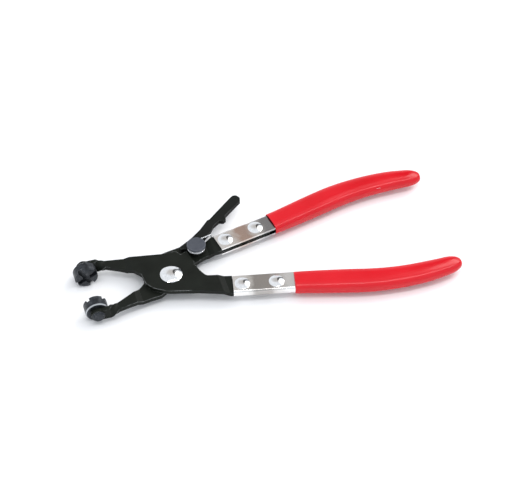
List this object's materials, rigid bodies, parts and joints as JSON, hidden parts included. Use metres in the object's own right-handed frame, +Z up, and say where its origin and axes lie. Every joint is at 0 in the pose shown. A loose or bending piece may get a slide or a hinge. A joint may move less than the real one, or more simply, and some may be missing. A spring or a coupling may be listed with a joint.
{
  "type": "hose clamp pliers",
  "caption": "Swivel-jaw hose clamp pliers: two pivoted black plates with grooved swivel pads, plated channel handles with red grips and a sprung lock lever.",
  "frame": {"origin": "middle of the bounding box, on the surface the tool lies on", "axes": "+X from the jaws towards the handles, +Y towards the handle with the lock lever, +Z up out of the surface, along the main pivot"},
  "size_m": [0.2248, 0.0976, 0.014],
  "materials": {
    "black_plate": "matt black",
    "black_lever": "matt black",
    "zinc_channel": "bright plated",
    "bright_rivet": "polished",
    "steel_washer": "satin",
    "grey_rivet": "satin grey",
    "gunmetal_pad": "satin blackened",
    "pin_steel": "satin",
    "spring_steel": "drawn wire",
    "red_grip": "glossy dipped"
  },
  "bodies": {
    "front_half": {"front_jaw_plate": "black_plate", "pivot_rivet": "bright_rivet", "pivot_washer": "steel_washer", "lower_handle_channel": "zinc_channel", "lower_front_handle_rivet": "bright_rivet", "lower_back_handle_rivet": "bright_rivet", "lower_grip": "red_grip"},
    "rear_half": {"rear_jaw_plate": "black_plate", "upper_handle_channel": "zinc_channel", "upper_front_handle_rivet": "bright_rivet", "upper_back_handle_rivet": "bright_rivet", "upper_grip": "red_grip", "lever_rivet": "grey_rivet", "lever_spring": "spring_steel"},
    "lever": {"lock_lever": "black_lever"},
    "upper_pad": {"upper_swivel_pad": "gunmetal_pad", "upper_pad_pin": "pin_steel"},
    "lower_pad": {"lower_swivel_pad": "gunmetal_pad", "lower_pad_pin": "pin_steel"}
  },
  "joints": [
    {"name": "main_pivot", "type": "hinge", "parent": "front_half", "child": "rear_half", "pos_m": [-0.05722, -0.00279, 0.007], "axis": [0, 0, 1], "range_deg": [-20, 12]},
    {"name": "lever_pivot", "type": "hinge", "parent": "rear_half", "child": "lever", "pos_m": [-0.03742, 0.01321, 0.00845], "axis": [0, 0, 1], "range_deg": [-6, 9], "stiffness_Nm_per_rad": 0.06, "deforming": ["lever_spring"]},
    {"name": "upper_pad_swivel", "type": "hinge", "parent": "front_half", "child": "upper_pad", "pos_m": [-0.10542, 0.01451, 0.007], "axis": [0, 1, 0], "continuous": true},
    {"name": "lower_pad_swivel", "type": "hinge", "parent": "rear_half", "child": "lower_pad", "pos_m": [-0.10542, -0.01279, 0.007], "axis": [0, 1, 0], "continuous": true}
  ]
}
